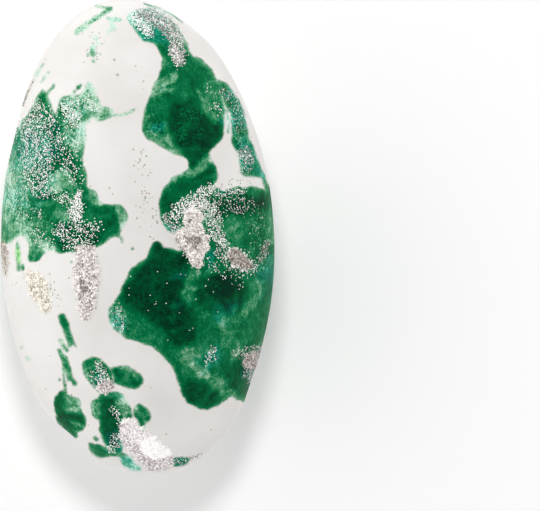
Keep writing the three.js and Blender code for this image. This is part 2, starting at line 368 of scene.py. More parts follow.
def closed_curve(points, steps=6):
    """A smooth closed line through the points."""
    here = np.array(points)[:, None, :]
    before, after, beyond = np.roll(here, 1, 0), np.roll(here, -1, 0), np.roll(here, -2, 0)
    t = (np.arange(steps) / steps)[None, :, None]
    line = 0.5 * (2 * here + (after - before) * t + (2 * before - 5 * here + 4 * after - beyond) * t**2
                  + (3 * here - before - 3 * after + beyond) * t**3)
    return line.reshape(-1, 2)


# How near a line its distance is worked out, and how far off is out of reach, in millimetres.
FAR = 1.2
OUT_OF_REACH = 99.0
# The least that anything is divided by, and how many distances are worked out at a time.
TINY = 1e-9
AT_A_TIME = 4_000_000


def depth_in_blot(points, at):
    """How far inside the closed line each place lies, in millimetres, and minus outside it."""
    line = closed_curve(points)
    onward = np.roll(line, -1, 0)
    side = onward - line
    rise = np.where(side[:, 1] == 0, TINY, side[:, 1])
    depth = np.full(len(at), -FAR)
    near = np.flatnonzero(((at > line.min(0) - FAR) & (at < line.max(0) + FAR)).all(1))
    for chunk in np.array_split(near, max(1, len(near) * len(line) // AT_A_TIME)):
        here = at[chunk][:, None, :]
        share = np.clip(((here - line) * side).sum(-1) / (side**2).sum(-1), 0, 1)
        away = np.linalg.norm(here - line - share[..., None] * side, axis=-1).min(1)
        x, y = here[..., 0], here[..., 1]
        over = (line[:, 1] > y) != (onward[:, 1] > y)
        crossings = (over & (x < line[:, 0] + (y - line[:, 1]) * side[:, 0] / rise)).sum(1)
        depth[chunk] = np.where(crossings % 2 == 1, away, -away)
    return np.clip(depth, -FAR, FAR)


def along_dabs(dabs, at):
    """For each place, its distance from the nearest of the lines between dabs and the radius there."""
    best, radius = np.full(len(at), OUT_OF_REACH), np.ones(len(at))
    dabs = np.array(dabs, float)
    for dab, after in zip(dabs, dabs[1:] if len(dabs) > 1 else dabs):
        side = after[:2] - dab[:2]
        share = np.clip(((at - dab[:2]) @ side) / max(side @ side, TINY), 0, 1)
        away = np.linalg.norm(at - dab[:2] - share[:, None] * side, axis=1)
        wide = dab[2] + share * (after[2] - dab[2])
        nearer = away - wide < best - radius
        best, radius = np.where(nearer, away, best), np.where(nearer, wide, radius)
    return best, radius


def off_dabs(dabs, at):
    """How far each place lies from the line of dabs, counted in the line's radius there."""
    away, radius = along_dabs(dabs, at)
    return away / radius


def turned_over(points, turn, scale, middle):
    """A shown outline or line of dabs, mirrored, turned, scaled and moved."""
    moved = np.array(points, float)
    moved[:, :2] -= (moved[:, :2].min(0) + moved[:, :2].max(0)) / 2
    moved *= scale
    x, y = moved[:, 0], moved[:, 1]
    cos, sin = math.cos(math.radians(turn)), math.sin(math.radians(turn))
    moved[:, :2] = np.column_stack([-x * cos - y * sin, y * cos - x * sin]) + middle
    return moved


# Past the rim the shown face's drawing is laid on outwards: a place as far below the rim as
# another is above it lies as far outside the outline as that one lies inside.
middle = (shell_low + shell_high) / 2
across = skin[:, :2] - middle[:2]
ball = (skin - middle) / ((shell_high - shell_low) / 2)
# How far out from the top, 1 at the rim, and never quite 0, because it is divided by.
LEAST_OUT = 0.01
out_from_top = np.linalg.norm(ball[:, :2], axis=1) / np.linalg.norm(ball, axis=1)
out_from_top = out_from_top.clip(LEAST_OUT)
shown = ball[:, 2] > 0
laid_out = np.where(shown[:, None], across, across * ((2 - out_from_top) / out_from_top)[:, None])
under = np.where(shown[:, None], OUT_OF_REACH, across)

dye = np.full(len(skin), -FAR)
for points in BLOTS.values():
    dye = np.maximum(dye, depth_in_blot(points, laid_out))
for dabs in list(STROKES.values()) + [[drop] for drop in DROPS]:
    away, radius = along_dabs(dabs, laid_out)
    dye = np.maximum(dye, radius - away)
for name, *laying in UNDER_BLOTS:
    dye = np.maximum(dye, depth_in_blot(turned_over(BLOTS[name], *laying), under))

# Where the dye pooled dark or was washed out pale: (x, y, radius, how much).
POOLS = [
    (3.6, 10.0, 0.8, 0.1), (6.2, 1.8, 1.1, 0.1), (6.1, 0.3, 0.8, -0.16), (6.3, -0.7, 0.6, -0.06),
    (-1.6, -5.0, 0.8, -0.24), (-8.3, 4.8, 1.0, -0.4), (-7.6, 4.0, 0.9, -0.3), (-8.1, 2.4, 1.0, -0.34),
    (-7.2, 2.4, 0.8, -0.16), (-4.7, 3.7, 0.6, -0.2), (9.4, -0.5, 0.9, -0.25), (9.8, -4.2, 0.8, 0.2),
    (9.2, -7.4, 0.8, -0.3), (-9.6, 3.0, 0.8, -0.2), (-9.1, 5.3, 0.6, 0.2), (9.0, 1.6, 0.5, 0.2),
    (-7.5, 0.9, 0.9, -0.24), (-6.2, 0.2, 0.8, -0.24), (-5.9, 5.8, 1.6, -0.03), (-3.4, 6.2, 0.8, -0.5),
    (1.4, 7.8, 0.8, 0.1),
    (-3.9, 6.9, 0.6, -0.2), (-2.95, 7.2, 0.5, -0.3), (-3.7, 8.3, 0.7, -0.26), (-2.4, 8.5, 0.7, -0.38),
    (-1.8, 7.7, 0.7, -0.38), (-2.5, 9.4, 0.6, -0.46), (-2.0, 13.6, 1.7, -0.38), (-1.8, 13.8, 0.3, 0.2),
    (4.2, 6.4, 0.9, 0.12), (5.2, -5.4, 0.9, -0.04), (3.4, -8.0, 0.8, -0.04), (4.6, -9.3, 0.6, -0.06),
    (-0.9, 13.1, 0.5, -0.4), (0.5, 13.8, 0.7, -0.36), (2.4, 14.0, 0.8, -0.35), (3.6, 12.4, 0.5, -0.25),
    (-5.7, 10.5, 0.9, -0.4), (-7.5, -0.6, 0.9, -0.3), (-4.9, -6.7, 0.5, -0.35), (-4.9, -7.8, 0.9, -0.15),
    (-1.0, -14.2, 0.8, -0.32), (-1.3, -10.5, 0.6, -0.5), (-0.3, 7.7, 0.9, -0.4),
    (-7.4, -7.0, 0.7, -0.4), (-1.9, 12.0, 1.2, -0.3), (6.0, 6.9, 0.3, -0.5),
    (-3.15, 9.54, 0.25, 0.7), (2.0, -14.2, 0.5, 0.25), (-0.2, -12.1, 0.3, -0.4), (-8.9, 3.4, 0.5, -0.2),
    (-5.2, 9.3, 0.5, -0.25), (-3.0, 9.0, 0.7, -0.16),
]
# Blots brushed over a second time, or rubbed paler where minus: (how much, blot).
COATS = [
    (0.3, [(1.1, -0.1), (2.0, -0.9), (2.9, -1.5), (3.15, -2.1), (2.95, -2.8), (2.6, -3.4),
           (2.75, -4.1), (3.15, -4.6), (3.4, -5.2), (3.3, -6.0), (2.9, -6.8), (2.2, -7.0),
           (1.5, -6.5), (0.8, -5.5), (-0.1, -4.7), (-0.9, -4.1), (-1.0, -3.3), (-0.2, -2.2),
           (0.5, -1.6)]),
    (0.24, [(2.6, 8.1), (3.4, 8.4), (4.1, 8.2), (4.5, 7.5), (4.9, 7.0), (5.7, 6.8), (5.7, 6.0),
            (5.2, 5.4), (4.7, 5.0), (4.2, 4.4), (3.5, 4.4), (3.2, 4.9), (2.6, 5.7), (2.35, 6.6),
            (2.3, 7.4)]),
    (0.18, [(2.3, -9.3), (2.9, -9.1), (3.7, -9.2), (4.1, -9.6), (4.5, -10.1), (4.9, -10.3),
            (4.2, -10.9), (3.3, -11.0), (2.6, -10.6), (2.2, -10.0)]),
    (0.16, [(1.7, 1.6), (1.9, 2.6), (2.6, 3.3), (3.4, 3.4), (4.0, 3.7), (4.6, 4.2), (5.0, 3.9),
            (4.8, 3.0), (4.0, 2.6), (3.0, 2.2), (2.3, 1.6)]),
    (0.26, [(4.9, 2.2), (5.8, 2.0), (6.8, 2.2), (7.9, 2.1), (8.2, 1.4), (7.2, 1.1), (6.2, 1.0),
            (5.4, 0.9), (4.8, 1.4)]),
    (0.22, [(4.8, -2.5), (5.6, -2.6), (6.1, -3.2), (5.9, -3.8), (5.3, -3.9), (4.8, -3.5)]),
    (0.26, [(3.5, -3.1), (4.5, -2.5), (5.6, -2.5), (6.5, -3.1), (6.6, -4.0), (6.1, -4.8), (5.0, -4.9),
            (3.9, -4.7), (3.4, -4.0)]),
    (0.2, [(5.0, -8.3), (6.2, -8.2), (6.9, -9.0), (6.6, -9.9), (6.0, -10.3), (5.3, -9.6), (5.0, -9.0)]),
    (-0.14, [(2.1, -7.3), (2.9, -7.1), (3.5, -6.9), (3.7, -7.4), (3.5, -8.0), (2.8, -8.3), (2.2, -8.0)]),
    (-0.2, [(4.2, -9.1), (4.9, -9.0), (5.0, -9.6), (5.3, -10.1), (4.9, -10.3), (4.4, -10.0)]),
    (0.1, [(-2.5, 1.8), (-1.6, 1.8), (-1.15, 1.4), (-1.2, 0.7), (-1.9, 0.3), (-2.6, 0.8)]),
    (0.22, [(-5.1, 0.9), (-4.2, 1.0), (-3.0, 0.9), (-2.3, 0.4), (-2.6, -0.4), (-4.0, -0.6), (-5.0, -0.5)]),
    (0.22, [(-5.1, 7.4), (-4.6, 7.2), (-4.3, 6.2), (-3.8, 5.2), (-3.5, 4.2), (-3.7, 3.6), (-4.1, 4.4),
            (-5.0, 4.4), (-5.1, 5.6)]),
    (0.24, [(-5.75, -9.5), (-5.2, -9.5), (-5.05, -10.6), (-4.2, -10.8), (-3.9, -11.3), (-4.6, -11.3),
            (-5.0, -12.1), (-5.6, -11.4)]),
    (-0.3, [(-4.95, -9.9), (-4.1, -10.1), (-4.1, -10.8), (-5.0, -10.7)]),
    (-0.22, [(-3.4, -10.1), (-2.8, -10.2), (-2.7, -10.9), (-3.3, -11.0)]),
    (0.24, [(-2.7, -10.4), (-2.0, -10.2), (-1.6, -11.0), (-1.7, -12.6), (-2.3, -13.0), (-2.8, -12.0)]),
]
# Single strokes, darker or rubbed paler: (how much of a rub, dabs).
RUB = 0.62
WASHES = [
    (-0.5, [(2.75, 10.0, 0.24), (2.1, 9.5, 0.4), (1.45, 9.05, 0.36)]),
    (-0.24, [(2.9, 9.15, 0.08), (2.3, 8.95, 0.12), (1.65, 8.7, 0.12)]),
    (0.2, [(2.9, 9.5, 0.06), (2.2, 9.15, 0.08), (1.5, 8.8, 0.06)]),
    (-0.3, [(1.1, 6.3, 0.22), (2.0, 5.8, 0.3), (2.8, 5.2, 0.2)]),
    (-0.28, [(2.15, 7.1, 0.1), (2.2, 6.4, 0.18), (2.4, 5.8, 0.22)]),
    (-0.4, [(4.35, 8.85, 0.18), (4.6, 8.1, 0.22), (4.8, 7.4, 0.2), (5.3, 6.95, 0.18)]),
    (-0.22, [(4.9, 9.3, 0.3), (5.2, 8.5, 0.4), (5.5, 7.6, 0.35)]),
    (-0.45, [(3.4, 3.65, 0.18), (3.95, 4.0, 0.24), (4.5, 4.4, 0.26), (4.9, 4.65, 0.2)]),
    (-0.28, [(2.2, 3.3, 0.1), (2.8, 3.6, 0.15), (3.3, 3.75, 0.15)]),
    (-0.22, [(3.7, -2.5, 0.12), (3.3, -2.75, 0.14), (2.9, -3.2, 0.14), (2.75, -3.6, 0.12),
             (2.9, -4.0, 0.12), (3.1, -4.4, 0.1)]),
    (-0.42, [(3.1, -3.45, 0.08), (3.6, -3.5, 0.1)]), (-0.12, [(2.3, -2.4, 0.4), (2.9, -2.5, 0.4)]),
    (-0.3, [(7.2, -2.9, 0.1), (7.45, -3.5, 0.14), (7.4, -4.0, 0.14), (7.0, -4.5, 0.17), (6.7, -4.8, 0.2),
            (6.35, -5.1, 0.15)]),
    (-0.18, [(4.2, -4.7, 0.15), (4.1, -5.2, 0.2)]),
    (-0.28, [(5.1, -5.7, 0.22), (5.3, -6.3, 0.35), (5.2, -6.9, 0.3)]),
    (-0.5, [(3.2, -8.3, 0.25), (3.7, -8.6, 0.32), (3.9, -8.9, 0.2)]),
    (-0.3, [(5.5, -10.1, 0.2), (5.9, -10.3, 0.2)]), (-0.2, [(6.0, -7.0, 0.3), (5.7, -7.6, 0.25)]),
    (-0.3, [(8.4, 1.2, 0.1), (8.45, 0.2, 0.13), (8.4, -0.8, 0.1)]),
    (-0.2, [(8.1, -5.5, 0.12), (7.9, -6.6, 0.12)]), (-0.45, [(-5.1, 3.6, 0.42), (-4.3, 3.8, 0.48)]),
    (-0.35, [(-4.9, 1.7, 0.3), (-4.6, 1.5, 0.3)]), (-0.22, [(-6.0, 2.3, 0.15), (-4.9, 2.4, 0.15)]),
    (0.3, [(-5.9, 2.75, 0.2), (-5.3, 2.75, 0.2)]), (0.3, [(-8.15, 6.9, 0.1), (-8.45, 5.9, 0.08)]),
    (0.35, [(-8.8, 1.0, 0.14), (-8.8, 0.0, 0.14)]), (-0.45, [(-2.7, 2.8, 0.24), (-2.4, 2.2, 0.28)]),
    (-0.5, [(-1.1, 1.75, 0.26), (-0.75, 1.3, 0.24), (-0.85, 0.8, 0.16)]),
    (-0.3, [(-0.5, -10.8, 0.14), (-0.1, -11.4, 0.14)]),
    (-0.4, [(-5.5, -0.4, 0.3), (-5.9, -0.2, 0.25)]),
    (0.2, [(-6.8, -0.3, 0.1), (-6.75, -1.0, 0.1)]), (0.3, [(-4.5, 8.5, 0.1), (-4.5, 7.9, 0.12)]),
    (-0.3, [(-0.6, -8.7, 0.1), (-0.4, -9.1, 0.1)]), (0.2, [(-1.7, -8.5, 0.15), (-1.4, -8.6, 0.2)]),
    (0.25, [(-0.7, -9.0, 0.2), (-0.4, -9.2, 0.15)]),
    (-0.25, [(-4.6, -11.6, 0.12), (-4.2, -11.6, 0.12)]), (-0.2, [(-3.6, -8.4, 0.15), (-3.3, -9.1, 0.15)]),
]
# Where it leans to teal, or to yellow where minus.
TEAL = [
    (1.75, 6.8, 0.5, 0.9), (2.3, 8.8, 0.6, 0.3), (1.9, 12.8, 1.3, 0.8), (0.8, 13.6, 0.9, 0.9),
    (6.7, 7.2, 0.9, 0.8), (6.3, 8.6, 0.6, 0.7), (7.1, 5.0, 0.9, 0.8), (8.0, 3.6, 0.7, 0.7),
    (2.6, -2.4, 0.7, 0.45), (2.4, -4.3, 0.8, 0.3), (4.2, -7.8, 0.8, 0.9), (4.5, -1.5, 0.6, 1.0),
    (8.1, -2.5, 1.1, 0.7), (7.6, -4.2, 0.6, 0.4), (6.7, -8.6, 0.9, 0.7), (-6.0, 5.8, 1.8, 0.8),
    (-5.4, 3.0, 0.8, 0.5), (-7.6, 2.6, 1.2, 0.5), (-8.2, 5.0, 1.0, 0.1), (-1.5, -5.1, 0.8, 0.7),
    (-2.0, -12.8, 0.8, 0.7), (-1.0, -14.2, 0.7, 1.0), (2.0, -14.1, 0.6, 0.8), (-3.6, 8.2, 0.6, 0.5),
    (-3.2, 6.6, 0.6, 0.35), (-2.9, -8.6, 0.7, 0.6), (-1.5, -10.0, 0.7, 0.6), (2.0, 0.4, 0.5, 0.8),
    (-0.9, 13.3, 0.8, 0.4), (-2.4, 13.6, 1.0, 0.2), (-5.0, 0.6, 0.9, 0.3), (5.3, 2.4, 0.5, 0.4),
    (-7.5, -0.8, 0.7, -0.9), (-0.9, 7.7, 0.8, 0.1), (2.0, 14.2, 0.9, 0.7), (-2.5, 9.4, 0.6, 0.35),
    (5.0, -5.0, 0.8, 0.5), (6.0, -4.6, 0.6, 0.4), (6.0, 6.8, 0.4, 0.8), (4.2, 4.2, 0.6, -0.3),
    (-1.9, 12.0, 0.8, 0.6),
]


def smooth(t):
    """A smooth step from 0 to 1, for arrays."""
    t = np.clip(t, 0, 1)
    return t * t * (3 - 2 * t)


# How far the drift shifts pools and strokes, how soft a coat's edge is in millimetres, and at how
# many of its radii a stroke has faded out.
POOL_DRIFT = 2.2
STROKE_DRIFT = 0.8
COAT_EDGE = 0.6
STROKE_END = 1.7


def blended(spots, start):
    """Soft spots with drifting edges, laid over a start value."""
    total = np.full(len(skin), start)
    for x, y, radius, amount in spots:
        total += amount * np.exp(-((laid_out + POOL_DRIFT * drift - (x, y)) ** 2).sum(1) / radius**2)
    return total


EVEN_TONE = 0.6
tone = blended(POOLS, EVEN_TONE)
wandering = laid_out + STROKE_DRIFT * drift
for amount, points in COATS:
    tone += amount * smooth(depth_in_blot(points, wandering) / COAT_EDGE + 0.5)
for amount, dabs in WASHES:
    tone += RUB * amount * smooth(STROKE_END - off_dabs(dabs, wandering))
teal = blended(TEAL, 0.0)
# Below the rim the dye simply runs thick and thin, more and more towards the table.
RUNNING = 1.2
below_rim = smooth(-ball[:, 2] / 0.8)
tone -= below_rim * (0.06 + RUNNING * drift[:, 0])
teal += below_rim * (0.15 + RUNNING * drift[:, 1])
# Where dust fell into the dye too thin to see its grains. The dye there is broken up as where grains lie,
# into dark flecks of painted shade and teal flecks of painted glint.
PEPPER = [[(3.2, 7.6, 0.3), (3.9, 7.5, 0.4), (4.3, 7.4, 0.2)], [(2.9, 6.6, 0.35), (3.3, 6.1, 0.5)],
          [(4.2, 6.4, 0.35)], [(5.0, -3.2, 0.4), (5.7, -3.4, 0.4)], [(5.4, 1.7, 0.7), (6.9, 1.7, 0.6)],
          [(-4.4, 0.2, 0.8), (-3.2, 0.0, 0.6)],
          [(-4.9, 8.0, 0.3), (-4.3, 6.6, 0.6), (-3.8, 4.6, 0.5), (-3.5, 3.4, 0.4)],
          [(6.3, 8.4, 0.4), (6.7, 7.0, 0.4), (6.8, 5.2, 0.4)], [(-1.4, -4.6, 0.5), (-1.2, -5.5, 0.4)],
          [(-7.5, 3.4, 0.6), (-7.1, 2.4, 0.9), (-6.4, 1.2, 0.8)], [(1.5, 6.6, 0.4), (1.3, 7.4, 0.3)],
          [(-2.8, 9.1, 0.4), (-2.45, 9.6, 0.3)], [(-2.7, 13.25, 0.3), (-1.0, 14.3, 0.3)],
          [(7.7, 1.4, 0.5), (7.5, 0.2, 0.5), (7.6, -1.0, 0.5), (7.8, -2.4, 0.4)]]
BROKEN_UP = 0.4
pepper = np.zeros(len(skin))
for dabs in PEPPER:
    pepper = np.maximum(pepper, BROKEN_UP * smooth(STROKE_END - off_dabs(dabs, wandering)))
# Fine dust that fell beside the blots: where it lies, as lines of dabs.
SPECKS = [[(0.5, 0.9, 0.45), (0.7, 3.0, 0.4), (0.3, 5.4, 0.35)], [(1.2, 1.8, 0.3), (1.1, 0.2, 0.3)],
          [(-2.3, 11.4, 0.4), (-1.9, 12.5, 0.35)], [(-5.4, -2.8, 0.3), (-5.2, -4.2, 0.25)],
          [(0.6, 9.4, 0.15), (1.0, 9.9, 0.15)], [(5.6, 3.1, 0.3), (6.6, 3.1, 0.5), (7.4, 3.0, 0.3)],
          [(0.65, 10.45, 0.2)], [(-7.75, -2.45, 0.2)]]
specks = np.zeros(len(skin))
for dabs in SPECKS:
    specks = np.maximum(specks, np.exp(-(off_dabs(dabs, laid_out) ** 2)))


# The silver dust where it lies thick
# Edible silver shaken over the wet dye. Where it fell thick it set with the sugar to a low lumpy
# crust. Each has how white it is, 1 for white and more for hardly a dark grain, how much of it is
# champagne, and its closed line.
CRUSTS = {
    "middle": (0.67, 0.3, [
        (2.4, 0.0), (2.45, -0.45), (2.7, -0.9), (3.0, -1.4), (3.3, -1.9), (3.6, -2.15),
        (3.85, -2.15), (3.98, -1.8), (4.1, -1.35), (4.4, -0.9), (4.45, -0.3), (4.2, 0.1),
        (4.08, 0.6), (4.15, 1.0), (4.15, 1.35), (3.7, 1.7), (3.2, 1.5), (2.95, 1.1), (2.95, 0.6),
        (2.7, 0.35)]),
    "left long": (0.58, 0.15, [
        (-3.95, -0.4), (-3.4, -0.35), (-2.75, -0.45), (-2.65, -0.9), (-2.6, -1.6), (-2.5, -2.2),
        (-2.5, -2.7), (-2.7, -3.3), (-2.8, -3.8), (-2.93, -4.4), (-3.2, -4.85), (-3.55, -5.1),
        (-3.8, -4.85), (-3.86, -4.4), (-3.9, -3.6), (-4.08, -3.0), (-4.1, -2.4), (-4.05, -1.7),
        (-3.95, -1.1), (-3.85, -0.8)]),
    "champagne": (0.66, 0.75, [
        (-7.15, -1.9), (-6.8, -1.88), (-6.4, -1.92), (-6.05, -2.2), (-5.78, -2.6), (-5.65, -3.2),
        (-5.6, -3.8), (-5.68, -4.3), (-5.9, -4.52), (-6.15, -4.35), (-6.4, -3.95), (-6.7, -3.5),
        (-6.88, -3.0), (-7.0, -2.5)]),
    "left rim": (0.42, 0.5, [
        (-8.5, 0.0), (-8.2, -0.2), (-8.12, -0.9), (-8.2, -1.8), (-8.35, -2.0), (-8.5, -1.2)]),
    # Whiter than white: a painted highlight on the foot's crust.
    "foot highlight": (1.5, 0.0, [
        (-0.5, -12.7), (0.0, -12.4), (0.6, -12.75), (1.0, -13.1), (1.45, -13.6), (1.1, -14.0), (0.5, -14.05),
        (-0.1, -13.9), (-0.6, -13.35)]),
    "foot ridge": (0.84, 0.0, [
        (-1.4, -11.5), (-1.0, -11.4), (-0.3, -12.0), (0.3, -12.6), (0.9, -13.2), (1.4, -13.75),
        (1.0, -14.0), (0.2, -14.1), (-0.3, -13.7), (-0.8, -13.1), (-1.4, -12.5), (-1.6, -11.9)]),
    "foot": (0.62, 0.0, [
        (-1.6, -11.6), (-1.0, -11.6), (-0.5, -11.9), (0.0, -12.4), (0.5, -12.9), (1.0, -13.4),
        (1.5, -13.8), (1.5, -14.3), (0.9, -14.6), (0.0, -14.6), (-0.3, -14.3), (-0.8, -13.8),
        (-1.3, -13.2), (-1.6, -12.6), (-1.75, -12.0)]),
    "right": (0.27, 0.4, [
        (5.55, -1.35), (5.95, -1.1), (6.45, -1.3), (6.75, -1.65), (7.05, -2.1), (7.0, -2.4),
        (6.6, -2.35), (6.2, -2.3), (5.85, -2.1), (5.6, -1.75)]),
    "right rim": (0.34, 0.2, [
        (6.25, -7.9), (6.6, -7.6), (7.2, -7.55), (7.6, -7.8), (7.4, -8.3), (6.9, -8.65),
        (6.4, -8.5), (6.2, -8.2)]),
    "silvered dab": (0.48, 0.05, [
        (-2.9, -9.05), (-2.4, -8.8), (-2.0, -8.95), (-1.95, -9.3), (-2.3, -9.6), (-2.8, -9.6)]),
}

# Where it fell thinner: (how thick, how white, champagne, dabs).
DUST = {
    "crown": (0.81, 0.48, 0, [(0.9, 13.75, 0.5), (1.7, 13.7, 0.55), (2.5, 13.1, 0.5), (3.0, 12.3, 0.5),
                             (3.15, 11.4, 0.45), (3.2, 10.8, 0.35)]),
    "crown left": (0.8, 1.0, 0, [(0.5, 13.7, 0.35), (0.9, 13.2, 0.4), (1.35, 12.7, 0.3)]),
    "crown end": (0.9, 0.65, 0, [(2.9, 11.5, 0.4), (3.1, 10.9, 0.35)]),
    "right side": (0.5, 0.6, 0, [(9.6, -4.2, 0.5), (9.9, -3.4, 0.3)]),
    "left side": (0.4, 0.7, 0, [(-9.5, 2.6, 0.5), (-9.4, 1.4, 0.4)]),
    "bell": (0.5, 0.8, 0, [(5.3, 7.85, 0.22), (5.55, 7.6, 0.15)]),
    "bell flecks": (0.5, 0.8, 0, [(5.65, 8.72, 0.08), (5.85, 8.7, 0.08)]),
    "bell rubbed": (0.12, 0.8, 0, [(4.9, 9.2, 0.3), (5.4, 7.6, 0.4)]),
    "rim top": (0.45, 0.4, 0, [(5.75, 8.8, 0.25), (6.1, 8.5, 0.3)]),
    "rim upper": (0.33, 0.4, 0, [(6.3, 8.4, 0.4), (6.7, 7.4, 0.4), (6.7, 6.3, 0.4)]),
    "rim lower": (0.62, 0.6, 0, [(6.9, 4.9, 0.45), (7.15, 4.5, 0.4)]),
    "rim end": (0.35, 0.5, 0, [(6.9, 3.8, 0.3), (7.1, 3.9, 0.3)]),
    "middle left": (0.6, 0.7, 0, [(1.8, 1.1, 0.35), (2.3, 0.7, 0.5), (2.5, 0.0, 0.4)]),
    "middle halo": (0.68, 0.95, 0, [(2.3, 1.2, 0.35), (2.9, 1.8, 0.4), (3.6, 2.1, 0.42), (4.3, 2.5, 0.42),
                                    (4.9, 2.9, 0.25)]),
    "middle top": (0.85, 0.95, 0, [(3.0, 1.5, 0.35), (3.7, 1.9, 0.35), (4.4, 1.7, 0.25)]),
    "middle edge": (0.95, 0.3, 0.3, [(2.5, -0.2, 0.15), (2.75, -0.8, 0.12)]),
    "middle right": (0.62, 0.85, 0, [(4.7, 1.6, 0.45), (4.85, 0.8, 0.55), (4.85, 0.2, 0.5),
                                     (5.05, -0.3, 0.42), (5.4, -0.8, 0.35)]),
    "right top": (0.55, 0.9, 0, [(5.2, 2.4, 0.22), (5.9, 2.5, 0.25), (6.8, 2.5, 0.18)]),
    "right dark": (0.38, 0.6, 0, [(5.3, 1.7, 0.6), (6.4, 1.7, 0.55), (7.2, 1.6, 0.4)]),
    "right dark low": (0.1, 0.5, 0, [(7.4, 1.4, 0.6), (7.2, 0.2, 0.6), (7.2, -0.8, 0.5)]),
    "right halo": (0.56, 0.75, 0, [(5.1, -1.3, 0.35), (5.6, -1.6, 0.5), (6.2, -1.9, 0.75), (6.9, -2.2, 0.5),
                                   (7.2, -2.3, 0.25)]),
    "right low": (0.34, 0.8, 0, [(4.4, -1.8, 0.22), (4.8, -2.2, 0.3)]),
    "right lower": (0.2, 0.8, 0, [(5.3, -2.7, 0.4), (6.3, -3.1, 0.45)]),
    "right edge": (0.6, 0.35, 0.1, [(8.05, -0.8, 0.2), (7.9, -1.3, 0.28), (7.6, -1.8, 0.22)]),
    "low middle": (0.6, 0.6, 0, [(4.4, -7.3, 0.2), (4.1, -7.7, 0.22), (3.9, -8.15, 0.12)]),
    "low middle side": (0.6, 0.7, 0, [(4.3, -7.9, 0.12), (4.5, -7.8, 0.12)]),
    "rim halo": (0.5, 0.5, 0, [(5.75, -7.6, 0.25), (6.3, -7.7, 0.4), (7.2, -7.4, 0.3)]),
    "rim below": (0.4, 0.7, 0, [(6.5, -8.9, 0.35), (6.7, -9.4, 0.2)]),
    "left": (0.53, 0.78, 0, [(-5.9, 8.4, 0.5), (-6.1, 7.5, 0.9), (-5.95, 6.5, 1.1), (-5.95, 5.5, 1.2),
                             (-6.05, 4.5, 1.1), (-6.0, 3.7, 0.85), (-5.6, 3.1, 0.42)]),
    "left inner": (0.42, 0.8, 0, [(-5.2, 8.2, 0.25), (-4.8, 6.9, 0.4), (-4.5, 5.8, 0.55), (-4.2, 4.9, 0.5),
                                  (-3.9, 4.2, 0.35), (-3.8, 3.6, 0.25)]),
    "left inner edge": (0.26, 0.8, 0, [(-3.45, 5.6, 0.25), (-3.35, 4.4, 0.3), (-3.2, 3.5, 0.25)]),
    "left inner low": (0.44, 0.85, 0, [(-4.7, 2.8, 0.45), (-4.3, 2.5, 0.45)]),
    "left wash": (0.28, 0.8, 0, [(-4.0, 6.6, 0.5), (-3.6, 6.0, 0.3)]),
    "left outer": (0.2, 0.5, 0.3, [(-7.3, 5.4, 0.5), (-7.3, 3.6, 0.8), (-6.9, 2.0, 0.7)]),
    "left bottom": (0.26, 0.8, 0, [(-6.2, 0.5, 0.5), (-5.6, -0.1, 0.5)]),
    "left dash": (0.8, 1.0, 0, [(-6.0, 1.85, 0.07), (-6.03, 1.5, 0.07)]),
    "shoulder": (0.64, 0.8, 0, [(-4.15, 8.4, 0.3), (-3.9, 8.0, 0.5), (-3.6, 7.5, 0.5)]),
    "shoulder top": (0.5, 0.8, 0, [(-3.9, 8.6, 0.3), (-3.4, 8.5, 0.35)]),
    "shoulder leaf": (0.36, 0.85, 0, [(-3.0, 8.6, 0.4), (-2.6, 8.4, 0.4), (-2.2, 8.0, 0.3)]),
    "left middle": (0.82, 0.95, 0, [(-3.5, 2.9, 0.18), (-3.65, 2.3, 0.34), (-3.75, 1.8, 0.5),
                                    (-3.8, 1.4, 0.4)]),
    "left low": (0.5, 0.95, 0, [(-4.8, 0.6, 0.5), (-4.0, 0.3, 0.9), (-3.3, 0.4, 0.8), (-2.7, 0.7, 0.5)]),
    "silvered dab": (0.66, 0.75, 0, [(-2.8, -7.9, 0.25), (-2.6, -8.5, 0.35), (-2.5, -9.3, 0.42)]),
    "silvered dab left": (0.4, 0.7, 0, [(-3.2, -8.5, 0.3), (-3.0, -9.2, 0.3)]),
    "foot dab": (0.5, 1.0, 0, [(-2.05, -10.7, 0.18), (-1.6, -11.3, 0.3)]),
    "foot dab low": (0.52, 0.85, 0, [(-2.05, -12.4, 0.3), (-1.8, -12.9, 0.3), (-2.3, -13.2, 0.3)]),
    "foot tip": (0.34, 0.8, 0, [(1.7, -14.1, 0.25), (2.3, -14.15, 0.2)]),
    "foot tail": (0.6, 0.2, 0, [(2.55, -14.05, 0.12), (3.4, -13.75, 0.06)]),
    # A line of grains on the rim, made grey as painted shade at the edge.
    "upper left rim shade": (0.9, 0.4, 0.4, [(-5.95, 10.1, 0.06), (-6.4, 9.3, 0.08), (-6.75, 8.5, 0.06)]),
    "champagne end": (0.35, 0.6, 0.8, [(-7.4, -2.1, 0.12), (-7.0, -2.2, 0.2)]),
    "big left": (0.3, 0.6, 0, [(-1.5, -4.6, 0.5), (-1.3, -5.6, 0.4)]),
    "all dye": (0.03, 0.8, 0, [(0.5, -3.0, 1.5), (3.0, -5.0, 2.0)]),
}
# The same on the face that it lies on: (dust or crust, turn in degrees, scale, middle).
UNDER_DUST = [
    ("left", 190, 0.8, (-2.2, 7.8)), ("shoulder", 60, 1.1, (2.5, 2.3)), ("right halo", 70, 1.0, (-2.9, -3.0)),
    ("left low", 30, 1.0, (-3.7, -6.4)), ("silvered dab", 80, 1.0, (3.1, -8.8)),
]
UNDER_CRUSTS = [("left long", 115, 0.8, (1.3, -5.2)), ("champagne", 20, 0.9, (4.0, 7.0))]
# Smooth dents in a crust, almost bare of grains and painted darker as shade in the hollow, each a line of
# dabs (x, y, radius).
DENTS = [
    [(3.25, -0.4, 0.22), (3.8, -0.4, 0.2)], [(3.5, -0.45, 0.28), (3.52, -0.85, 0.14)], [(-3.55, -2.7, 0.18)],
    [(-3.4, -3.15, 0.2)], [(-3.75, -3.6, 0.12)], [(3.3, 0.8, 0.13)], [(-3.5, -1.6, 0.1)],
]

